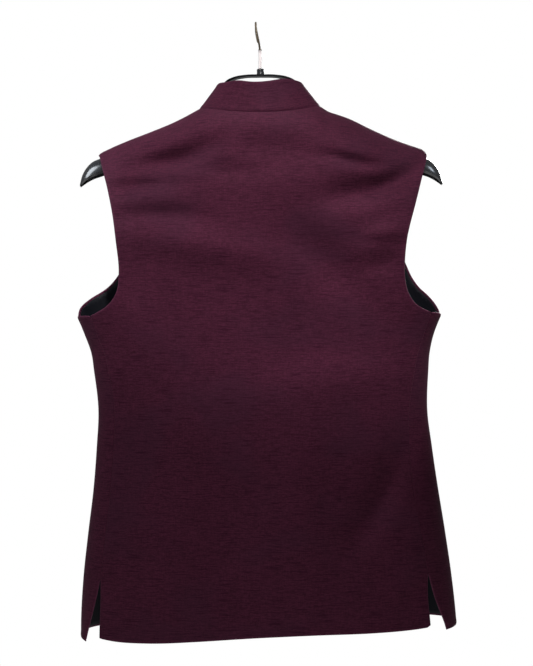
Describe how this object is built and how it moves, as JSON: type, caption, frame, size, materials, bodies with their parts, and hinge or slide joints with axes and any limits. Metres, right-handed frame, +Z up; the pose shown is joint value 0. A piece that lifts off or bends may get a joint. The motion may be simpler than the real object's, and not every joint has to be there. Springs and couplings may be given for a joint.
{
  "type": "nehru jacket on a hanger",
  "caption": "Sleeveless band-collar jacket, buttoned at the front, with side vents, hung on a moulded suit hanger with a wire hook.",
  "frame": {"origin": "inner top of the hanger's hook, where the rail carries it", "axes": "+Z up, -Y towards the jacket's front, +X towards the wearer's left; the hook's circle lies in the YZ plane"},
  "size_m": [0.4812, 0.1551, 0.7815],
  "materials": {
    "cloth": "slubbed, soft sheen",
    "lining": "smooth satin",
    "button": "satin",
    "plastic": "glossy",
    "chrome": "polished"
  },
  "bodies": {
    "root": {"back_panel": "cloth", "front_left": "cloth", "front_right": "cloth", "collar": "cloth", "lining_left": "lining", "lining_right": "lining", "button_1": "button", "button_2": "button", "button_3": "button", "button_4": "button", "button_5": "button", "hanger_body": "plastic", "hanger_ferrule": "plastic", "hanger_hook": "chrome"}
  },
  "joints": []
}
